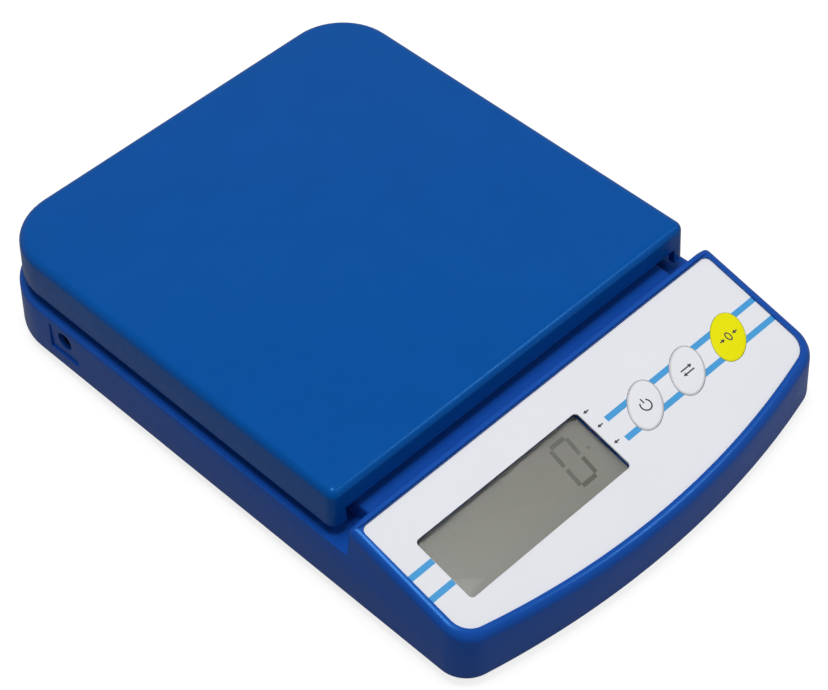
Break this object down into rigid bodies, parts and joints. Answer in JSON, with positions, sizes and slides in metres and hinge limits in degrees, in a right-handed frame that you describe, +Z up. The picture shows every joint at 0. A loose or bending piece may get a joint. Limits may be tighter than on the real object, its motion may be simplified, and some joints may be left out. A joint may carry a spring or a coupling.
{
  "type": "compact balance",
  "caption": "Low portable balance with a square lift-off platform, a sloping display panel with oval keys, a side power inlet and a sliding battery door underneath.",
  "frame": {"origin": "middle of the plan on the table surface under the feet", "axes": "+X to the user's right, +Y away from the user, +Z up; the panel faces -Y"},
  "size_m": [0.1494, 0.2084, 0.0374],
  "materials": {
    "platform_plastic": "fine satin moulded plastic",
    "housing_plastic": "fine satin moulded plastic",
    "carrier_plastic": "plain moulded plastic",
    "label_film": "printed satin film",
    "clear_pane": "clear",
    "lcd": "grey green reflective display glass",
    "key_white": "satin",
    "key_yellow": "satin",
    "black_rubber": "dull",
    "seal_silicone": "dull",
    "circuit_board": "lacquered board",
    "black_plastic": "plain moulded plastic",
    "cell_jacket": "plain shrink jacket",
    "contact_metal": "nickel plated",
    "screw_steel": "zinc plated",
    "cell_aluminium": "milled",
    "grey_insulation": "plain jacket",
    "red_insulation": "plain insulation"
  },
  "bodies": {
    "housing": {"upper_housing": "housing_plastic", "bottom_cover": "housing_plastic", "housing_screws": "screw_steel", "foot_front_left": "black_rubber", "foot_front_right": "black_rubber", "foot_back_left": "black_rubber", "foot_back_right": "black_rubber", "panel_label": "label_film", "display_pane": "clear_pane", "lcd_glass": "lcd", "lcd_strips": "seal_silicone", "main_board": "circuit_board", "board_screws": "screw_steel", "board_parts": "black_plastic", "key_switches": "black_plastic", "load_cell": "cell_aluminium", "gauge_seal": "seal_silicone", "base_spacer": "cell_aluminium", "base_screws": "screw_steel", "overload_stop": "screw_steel", "battery_cell_left": "cell_jacket", "battery_cell_middle": "cell_jacket", "battery_cell_right": "cell_jacket", "battery_springs": "contact_metal", "battery_plates": "contact_metal", "power_inlet": "black_plastic", "inlet_pin": "contact_metal", "gauge_lead": "grey_insulation", "battery_leads": "red_insulation", "inlet_leads": "red_insulation"},
    "carrier": {"carrier": "carrier_plastic", "carrier_screws": "screw_steel", "top_spacer": "cell_aluminium"},
    "platform": {"platform": "platform_plastic", "platform_pads": "black_rubber"},
    "key_power": {"key_power": "key_white"},
    "key_units": {"key_units": "key_white"},
    "key_tare": {"key_tare": "key_yellow"},
    "battery_door": {"battery_door": "housing_plastic"}
  },
  "joints": [
    {"name": "platform_load", "type": "slide", "parent": "housing", "child": "carrier", "axis": [0, 0, -1], "range_m": [0, 0.0004], "stiffness_N_per_m": 100000, "springref_m": -0.00002},
    {"name": "platform_lift", "type": "slide", "parent": "carrier", "child": "platform", "axis": [0, 0, 1], "range_m": [0, 0.06]},
    {"name": "key_power_press", "type": "slide", "parent": "housing", "child": "key_power", "axis": [0, 0.2538, -0.9673], "range_m": [0, 0.0005], "stiffness_N_per_m": 400, "springref_m": -0.002},
    {"name": "key_units_press", "type": "slide", "parent": "housing", "child": "key_units", "axis": [0, 0.2538, -0.9673], "range_m": [0, 0.0005], "stiffness_N_per_m": 400, "springref_m": -0.002},
    {"name": "key_tare_press", "type": "slide", "parent": "housing", "child": "key_tare", "axis": [0, 0.2538, -0.9673], "range_m": [0, 0.0005], "stiffness_N_per_m": 400, "springref_m": -0.002},
    {"name": "battery_door_slide", "type": "slide", "parent": "housing", "child": "battery_door", "axis": [0, 1, 0], "range_m": [0, 0.005]}
  ]
}
